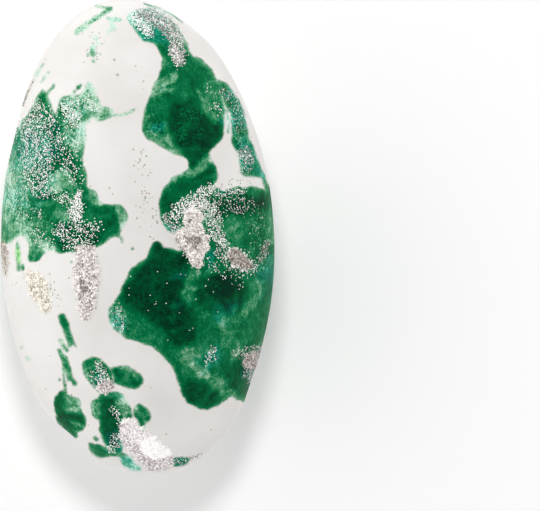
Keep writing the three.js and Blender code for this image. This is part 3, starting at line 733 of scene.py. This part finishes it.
# At how many of its radii a line of dust and a dent end, how soft the edges of a crust's grains and
# of its swelling are, in millimetres, and how white silver is taken to be where there is none.
DUST_END = 1.5
DENT_END = 1.4
GRAINS_EDGE = 0.4
CRUST_EDGE = 0.8
WHITE_ELSEWHERE = 0.6
silver, champagne, crust = np.zeros((3, len(skin)))
white = np.full(len(skin), WHITE_ELSEWHERE)


def sprinkle(thick, how_white, warm):
    """Lays silver over what lies there already. The thicker layer keeps its looks."""
    top = thick > silver
    white[top], champagne[top] = how_white, warm
    silver[top] = thick[top]


for at, dusts, crusts in (
        (laid_out, list(DUST.values()), list(CRUSTS.values())),
        (under, [(*DUST[name][:3], turned_over(DUST[name][3], *laying)) for name, *laying in UNDER_DUST],
         [(*CRUSTS[name][:2], turned_over(CRUSTS[name][2], *laying)) for name, *laying in UNDER_CRUSTS])):
    for thick, how_white, warm, dabs in dusts:
        sprinkle(smooth(DUST_END - off_dabs(dabs, at)) * thick, how_white, warm)
    for how_white, warm, points in crusts:
        depth = depth_in_blot(points, at)
        sprinkle(smooth(depth / GRAINS_EDGE + 0.5), how_white, warm)
        crust = np.maximum(crust, smooth(depth / CRUST_EDGE + 0.55))
dent = np.zeros(len(skin))
for dabs in DENTS:
    dent = np.maximum(dent, smooth((DENT_END - off_dabs(dabs, laid_out)) / 0.6))
# None of it on the lowest part, next to the table, and the dents are painted darker as shade.
BARE_BELOW = 0.3
FADES_OVER = 0.5
DENT_PAINTED_SHADE = 0.45
above_table = smooth((skin[:, 2] - BARE_BELOW) / FADES_OVER)
silver *= above_table
crust *= above_table
white -= dent * DENT_PAINTED_SHADE

marks = {"dye": dye, "tone": tone, "teal": teal, "specks": specks, "dust_and_shade": np.maximum(silver, pepper),
         "silver": silver, "crust": crust, "white": white, "champagne": champagne, "dent": dent}
for name, values in marks.items():
    shell_mesh.attributes.new(name, "FLOAT", "POINT").data.foreach_set("value", values)
shell_mesh.update()


def step(tree, value, start, end):
    """A smooth step from 0 to 1."""
    return add(tree, "ShaderNodeMapRange", {"Value": value, "From Min": start, "From Max": end},
               interpolation_type="SMOOTHSTEP").outputs[0]


def named(tree, name):
    """A number kept on the mesh, for geometry nodes."""
    return add(tree, "GeometryNodeInputNamedAttribute", {"Name": name}).outputs[0]


def outside_dents(tree):
    """1 everywhere but in the dents, where next to nothing is left."""
    return calc(tree, "MULTIPLY_ADD", named(tree, "dent"), -0.95, 1.0)


def set_crust():
    """Raises the skin in lumps where the silver lies thick."""
    tree, given, out = new_tree("Silver crust", "GeometryNodeTree", [
        ("Shell", "Geometry"), ("Height", "Float", 0.05), ("Lumps", "Float", 3.0)],
        [("Geometry", "Geometry")])
    place = add(tree, "GeometryNodeInputPosition").outputs[0]
    facing = add(tree, "GeometryNodeInputNormal").outputs[0]
    thick = step(tree, swing(tree, noise(tree, place, 2.5, 3.0), 1.5, named(tree, "crust")), 0.35, 0.8)
    lumps = swing(tree, noise(tree, place, given["Lumps"], 2.0), 3.0, 1.0)
    sunk = calc(tree, "MULTIPLY", lumps, outside_dents(tree))
    height = calc(tree, "MULTIPLY", calc(tree, "MULTIPLY", thick, sunk), given["Height"])
    # None of it at the rim, so that the outline stays the shell's.
    flat = calc(tree, "ABSOLUTE", add(tree, "ShaderNodeSeparateXYZ", {0: facing}).outputs[2])
    height = calc(tree, "MULTIPLY", height, step(tree, flat, 0.1, 0.5))
    lift = vcalc(tree, "SCALE", facing, height)
    raised = add(tree, "GeometryNodeSetPosition", {"Geometry": given["Shell"], "Offset": lift})
    return ended(tree, raised.outputs[0], sugar, out)


shell_mesh = grown("sugar_shell", set_crust(), {"Height": 0.07, "Lumps": 3.4}, shell_mesh)


def colour(red, green, blue):
    """A colour given as it looks on a screen, 0 to 255, as the numbers that light works with."""
    linear = [c / 255 / 12.92 if c / 255 <= 0.04045 else ((c / 255 + 0.055) / 1.055) ** 2.4
              for c in (red, green, blue)]
    return (*linear, 1.0)


def finish_of(material):
    """Empties a material's tree. Gives the tree, its Principled BSDF and the place in millimetres."""
    material.use_nodes = True
    tree = material.node_tree
    tree.nodes.clear()
    surface = tree.nodes.new("ShaderNodeBsdfPrincipled")
    tree.links.new(surface.outputs[0], tree.nodes.new("ShaderNodeOutputMaterial").inputs["Surface"])
    return tree, surface, vcalc(tree, "SCALE", add(tree, "ShaderNodeTexCoord").outputs["Object"], 1 / MM)


def mixed(tree, share, *tints):
    """One colour turning into another as share goes from 0 to 1."""
    return add(tree, "ShaderNodeMix", {0: share, 6: tints[0], 7: tints[1]}, data_type="RGBA").outputs[2]


def ramp(tree, value, *stops):
    """A colour for each value, from stops (value, red, green, blue)."""
    node = add(tree, "ShaderNodeValToRGB", {0: value})
    while len(node.color_ramp.elements) < len(stops):
        node.color_ramp.elements.new(1.0)
    for element, (place, *tint) in zip(node.color_ramp.elements, stops):
        element.position, element.color = place, colour(*tint)
    return node.outputs[0]


def attribute(tree, name):
    """A number kept on the mesh, for a material."""
    return add(tree, "ShaderNodeAttribute", attribute_name=name).outputs["Fac"]


def brushed_dye():
    """The dye's colour from how deep it soaked in and how far it leans to teal, in brush streaks
    and grains, and its ragged edge from how far inside a blot a place is."""
    tree, given, out = new_tree("Brushed dye", "ShaderNodeTree", [
        ("Place", "Vector"), ("Inside", "Float"), ("Tone", "Float"), ("Teal", "Float"),
        ("Dusty", "Float")], [("Colour", "Color"), ("Mask", "Float")])
    place = given["Place"]
    edge = swing(tree, noise(tree, place, 1.8, 3.0), 0.24, given["Inside"])
    torn = calc(tree, "MULTIPLY_ADD", step(tree, given["Tone"], 0.4, 0.1), 0.5, 0.08)
    edge = swing(tree, noise(tree, place, 8.0, 2.0), torn, edge)
    tree.links.new(step(tree, edge, -0.1, 0.07), out["Mask"])

    # Clouds, then streaks that wind with the brush, then the grain of the sugar, which shows most where the
    # dye is thin.
    # Where dust lies the grain is made much stronger still, its dark flecks painted shade between the silver
    # grains.
    drift = add(tree, "ShaderNodeTexNoise", {"Vector": place, "Scale": 0.3, "Detail": 1.0}).outputs["Color"]
    drift = vcalc(tree, "SCALE", vcalc(tree, "SUBTRACT", drift, (0.5, 0.5, 0.5)), 6.0)
    wound = vcalc(tree, "ADD", place, drift)
    deep = swing(tree, noise(tree, wound, 0.8, 3.0, 0.5), 0.6, given["Tone"])
    streaks = noise(tree, vcalc(tree, "MULTIPLY", wound, (3.2, 0.6, 1.2)), 1.0, 2.0, 0.6)
    thin = step(tree, deep, 0.8, 0.25)
    for clouds, more, least in ((streaks, 0.34, 0.2), (noise(tree, place, 2.6, 2.0), 0.32, 0.3)):
        deep = swing(tree, clouds, calc(tree, "MULTIPLY_ADD", thin, more, least), deep)
    deep = calc(tree, "ADD", deep, calc(tree, "MULTIPLY_ADD", step(tree, edge, 0.0, 0.3), 0.2, -0.2))
    # Where dust lies the flecks grow far stronger: the dark ones are painted shade between the silver grains.
    loose = calc(tree, "MULTIPLY_ADD", thin, 0.3, 0.45)
    loose = calc(tree, "MULTIPLY_ADD", step(tree, given["Dusty"], 0.1, 0.5), 1.15, loose)
    deep = swing(tree, noise(tree, place, 7.0, 2.0, 0.7), loose, deep)
    green = ramp(tree, deep, (0.0, 180, 208, 188), (0.16, 128, 176, 146), (0.34, 76, 140, 100),
                 (0.48, 28, 120, 76), (0.62, 0, 100, 57), (0.82, 0, 74, 41), (1.0, 2, 44, 28))
    bluer = ramp(tree, deep, (0.0, 190, 224, 216), (0.18, 122, 192, 170), (0.4, 34, 148, 118),
                 (0.62, 0, 112, 86), (0.82, 0, 82, 70), (1.0, 2, 44, 40))
    yellower = ramp(tree, deep, (0.0, 205, 228, 196), (0.3, 140, 200, 130), (0.7, 60, 140, 60))
    lean = swing(tree, noise(tree, wound, 0.9, 3.0), 0.9, given["Teal"])
    # Where dust lies, teal flecks among the grains are painted glints.
    lean = swing(tree, noise(tree, place, 9.0, 1.0), step(tree, given["Dusty"], 0.0, 0.4), lean)
    tint = mixed(tree, step(tree, lean, 0.15, 0.75), green, bluer)
    tint = mixed(tree, step(tree, lean, -0.3, -0.75), tint, yellower)
    tree.links.new(tint, out["Colour"])
    return tree


def silver_tint():
    """The colour of one grain of silver dust, from how white it is and how warm."""
    tree, given, out = new_tree("Silver tint", "ShaderNodeTree", [
        ("White", "Float"), ("Champagne", "Float")], [("Colour", "Color")])
    cool = ramp(tree, given["White"], (0.0, 90, 84, 84), (0.3, 166, 156, 156), (0.6, 224, 214, 213),
                (1.0, 255, 253, 252))
    warm = ramp(tree, given["White"], (0.0, 92, 86, 58), (0.3, 168, 160, 134), (0.6, 222, 216, 198),
                (1.0, 252, 248, 236))
    tree.links.new(mixed(tree, given["Champagne"], cool, warm), out["Colour"])
    return tree


dye_group, tint_group = brushed_dye(), silver_tint()

# The finish: white sugar with faint warm clouds and a few specks, the dye on it, and the bed of
# the silver, which the grains lie on.
tree, surface, where = finish_of(sugar)
clouds = ramp(tree, noise(tree, where, 0.3, 3.0), (0.35, 214, 211, 208), (0.65, 221, 219, 216))
cells = add(tree, "ShaderNodeTexVoronoi", {"Vector": where, "Scale": 5.0})
lot, kind, _ = add(tree, "ShaderNodeSeparateColor", {0: cells.outputs["Color"]}).outputs
many = calc(tree, "MULTIPLY_ADD", attribute(tree, "specks"), 0.8, 0.008)
close = step(tree, cells.outputs["Distance"], 0.4, 0.18)
dot = calc(tree, "MULTIPLY", close, calc(tree, "LESS_THAN", lot, many))
speck_tint = ramp(tree, kind, (0.2, 146, 140, 128), (0.5, 152, 140, 92), (0.8, 88, 146, 104))
sugar_tint = mixed(tree, calc(tree, "MULTIPLY", dot, 0.8), clouds, speck_tint)

dyed = add(tree, "ShaderNodeGroup", {
    "Place": where, "Inside": attribute(tree, "dye"), "Tone": attribute(tree, "tone"),
    "Teal": attribute(tree, "teal"), "Dusty": attribute(tree, "dust_and_shade")}, node_tree=dye_group)
paint = mixed(tree, dyed.outputs["Mask"], sugar_tint, dyed.outputs["Colour"])

grit = noise(tree, where, 7.0, 2.0, 0.7)
thick = swing(tree, noise(tree, where, 2.5, 3.0), 1.5, attribute(tree, "crust"))
bedded = step(tree, swing(tree, grit, -0.9, thick), 0.5, 0.68)
brighter = calc(tree, "ADD", attribute(tree, "white"), 0.05)
mottles = swing(tree, noise(tree, where, 2.2, 2.0), 0.8, brighter)
bed = add(tree, "ShaderNodeGroup", {
    "White": swing(tree, noise(tree, where, 9.0, 1.0), 1.3, mottles),
    "Champagne": attribute(tree, "champagne")}, node_tree=tint_group)
fine = calc(tree, "MULTIPLY_ADD", grit, calc(tree, "MULTIPLY", attribute(tree, "silver"), 4.0),
            noise(tree, where, 3.0, 3.0))
bump = add(tree, "ShaderNodeBump", {"Height": fine, "Strength": 0.4, "Distance": 0.00003})
fill(tree, surface, {
    "Base Color": mixed(tree, bedded, paint, bed.outputs["Colour"]),
    "Metallic": calc(tree, "MULTIPLY", bedded, 0.2),
    "Roughness": swing(tree, noise(tree, where, 2.0), 0.2, 0.46),
    "Specular IOR Level": 0.02, "Normal": bump.outputs[0]})


def finished(name, mesh):
    """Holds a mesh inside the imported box, turns it to metres and puts it in the scene."""
    held = places(mesh).clip(shell_low, shell_high) * MM
    mesh.vertices.foreach_set("co", held.astype(np.float32).ravel())
    mesh.update()
    piece = bpy.data.objects.new(name, mesh)
    bpy.context.collection.objects.link(piece)
    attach(piece, "root")
    return piece


# The grains are strewn later, on this copy, which stays in millimetres.
shell_in_mm = shell_mesh.copy()
shell = finished("sugar_shell", shell_mesh)
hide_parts("sugared_almond")


# The silver grains
# Single grains of the dust, flat slivers a tenth to a quarter of a millimetre long, that stuck at all
# angles. They lie thick on the crusts and thin out over the dye round them.
def sprinkled_grains():
    """Grains strewn over the shell, each laid flat, then tilted, sized and tinted by chance."""
    tree, given, out = new_tree("Silver grains", "GeometryNodeTree", [
        ("Shell", "Geometry"), ("Most per mm2", "Float", 100.0), ("Half Length", "Float", 0.1),
        ("Seed", "Int", 0), ("Silver", "Material")], [("Geometry", "Geometry")])
    place = add(tree, "GeometryNodeInputPosition").outputs[0]
    thick = named(tree, "silver")
    clumps = calc(tree, "MULTIPLY_ADD", step(tree, noise(tree, place, 2.2, 2.0), 0.36, 0.62), 0.35, 0.86)
    spread = calc(tree, "MULTIPLY", calc(tree, "POWER", thick, 1.4), given["Most per mm2"])
    spread = calc(tree, "MULTIPLY", spread, outside_dents(tree))
    strewn = add(tree, "GeometryNodeDistributePointsOnFaces",
                 {"Mesh": given["Shell"], "Density": calc(tree, "MULTIPLY", spread, clumps),
                  "Seed": given["Seed"]})

    def chance(low, high, seed, kind="FLOAT"):
        """A number or a vector at random between two, another one for each grain."""
        node = add(tree, "FunctionNodeRandomValue", {"Seed": seed}, data_type=kind)
        sockets = [socket for socket in node.inputs if socket.enabled and socket.name in ("Min", "Max")]
        sockets[0].default_value, sockets[1].default_value = low, high
        return next(socket for socket in node.outputs if socket.enabled)

    whiteness = calc(tree, "ADD", named(tree, "white"), chance(-0.45, 0.45, 3))
    marked = add(tree, "GeometryNodeStoreNamedAttribute", {"Geometry": strewn.outputs["Points"],
                 "Name": "white", "Value": whiteness}, data_type="FLOAT", domain="POINT")
    grain = add(tree, "GeometryNodeMeshUVSphere", {"Segments": 4, "Rings": 2, "Radius": 1.0})
    turn = chance((-0.6, -0.6, -3.14), (0.6, 0.6, 3.14), 5, "FLOAT_VECTOR")
    tilt = add(tree, "FunctionNodeEulerToRotation", {0: turn})
    lying = add(tree, "FunctionNodeRotateRotation", {"Rotation": strewn.outputs["Rotation"],
                                                     "Rotate By": tilt.outputs[0]}, rotation_space="LOCAL")
    size = calc(tree, "MULTIPLY_ADD", calc(tree, "POWER", thick, 3.0), 0.35, 0.65)
    size = calc(tree, "MULTIPLY", given["Half Length"], size)
    shape = vcalc(tree, "SCALE", chance((0.6, 0.34, 0.14), (0.95, 0.64, 0.26), 7, "FLOAT_VECTOR"), size)
    laid = add(tree, "GeometryNodeInstanceOnPoints", {
        "Points": marked.outputs[0], "Instance": grain.outputs["Mesh"], "Rotation": lying.outputs[0],
        "Scale": shape})
    return ended(tree, laid.outputs[0], given["Silver"], out)


silver_metal = bpy.data.materials.new("silver_grains")
grains_mesh = grown("silver_grains", sprinkled_grains(), {
    "Most per mm2": 170.0, "Half Length": 0.13, "Seed": 4, "Silver": silver_metal}, shell_in_mm)
bpy.data.meshes.remove(shell_in_mm)
# The grains' finish needs only these two of the numbers that they took over from the shell.
for name in marks:
    if name not in ("white", "champagne") and name in grains_mesh.attributes:
        grains_mesh.attributes.remove(grains_mesh.attributes[name])

tree, surface, where = finish_of(silver_metal)
tint = add(tree, "ShaderNodeGroup", {"White": attribute(tree, "white"),
                                     "Champagne": attribute(tree, "champagne")}, node_tree=tint_group)
bump = add(tree, "ShaderNodeBump", {"Height": noise(tree, where, 25.0), "Strength": 0.3,
                                    "Distance": 0.00001})
fill(tree, surface, {
    "Base Color": tint.outputs["Colour"], "Metallic": 0.5,
    "Roughness": swing(tree, noise(tree, where, 8.0), 0.3, 0.36), "Normal": bump.outputs[0]})

grains = finished("silver_grains", grains_mesh)


# The table, the light and the camera
# A pale table in a light tent: bright all round, most of all from the left and somewhat from the top
# of the picture, where a soft lamp hangs, and dark straight overhead. The camera looks straight down.
TABLE_SIDE = 0.5
half = TABLE_SIDE / 2
table_mesh = bpy.data.meshes.new("table")
table_mesh.from_pydata([(-half, -half, 0), (half, -half, 0), (half, half, 0), (-half, half, 0)], [],
                       [(0, 1, 2, 3)])
table = bpy.data.objects.new("table", table_mesh)
bpy.context.collection.objects.link(table)
pale = bpy.data.materials.new("pale_table")
tree, surface, _ = finish_of(pale)
fill(tree, surface, {"Base Color": (0.95, 0.95, 0.95, 1), "Roughness": 0.9,
                     "Emission Color": (1, 1, 1, 1), "Emission Strength": 0.045})
table_mesh.materials.append(pale)

world = bpy.data.worlds.new("light_tent")
bpy.context.scene.world = world
world.use_nodes = True
tree = world.node_tree
# How bright the tent is level with the table, and what it gains towards +X and towards +Y.
LEVEL_BRIGHTNESS = 2.2
GAIN_X = -0.2
GAIN_Y = 0.1
towards = add(tree, "ShaderNodeTexCoord").outputs["Generated"]
x, y, z = add(tree, "ShaderNodeSeparateXYZ", {0: towards}).outputs
bright = add(tree, "ShaderNodeMapRange", {"Value": z, "From Min": 0.0, "From Max": 1.0,
                                          "To Min": LEVEL_BRIGHTNESS, "To Max": 0.0}).outputs[0]
gain = calc(tree, "MULTIPLY_ADD", y, GAIN_Y, calc(tree, "MULTIPLY_ADD", x, GAIN_X, 1.0))
fill(tree, tree.nodes["Background"], {"Color": (1, 1, 1, 1),
                                      "Strength": calc(tree, "MULTIPLY", bright, gain)})

LAMP_AT = (0.0, 0.065, 0.2)
LAMP_WIDTH = 0.04
LAMP_WATTS = 0.145
lamp = bpy.data.lights.new("soft_lamp", "AREA")
lamp.shape, lamp.size, lamp.energy = "DISK", LAMP_WIDTH, LAMP_WATTS
key = bpy.data.objects.new("soft_lamp", lamp)
key.location = LAMP_AT
key.rotation_euler = key.location.to_track_quat("Z", "Y").to_euler()
bpy.context.collection.objects.link(key)

# The photo's size, how many of its pixels are a millimetre, where the middle of the sweet lies in it,
# in pixels, how far the sweet leans there, in radians, and how high the camera hangs, in metres.
PHOTO_SIZE = (540, 511)
PIXELS_PER_MM = 16.0
SWEET_AT = (137.3, 236.5)
LEAN = 0.0494
CAMERA_HEIGHT = 0.2
lens = bpy.data.cameras.new("camera")
lens.type = "ORTHO"
lens.ortho_scale = PHOTO_SIZE[0] / PIXELS_PER_MM * MM
camera = bpy.data.objects.new("camera", lens)
right = np.array([math.cos(LEAN), -math.sin(LEAN)])
up = np.array([math.sin(LEAN), math.cos(LEAN)])
off = (PHOTO_SIZE[0] / 2 - SWEET_AT[0]) * right - (PHOTO_SIZE[1] / 2 - SWEET_AT[1]) * up
camera.location = (*(off / PIXELS_PER_MM * MM), CAMERA_HEIGHT)
camera.rotation_euler = (0, 0, -LEAN)
bpy.context.collection.objects.link(camera)
scene = bpy.context.scene
scene.camera = camera
scene.view_settings.view_transform = "Standard"
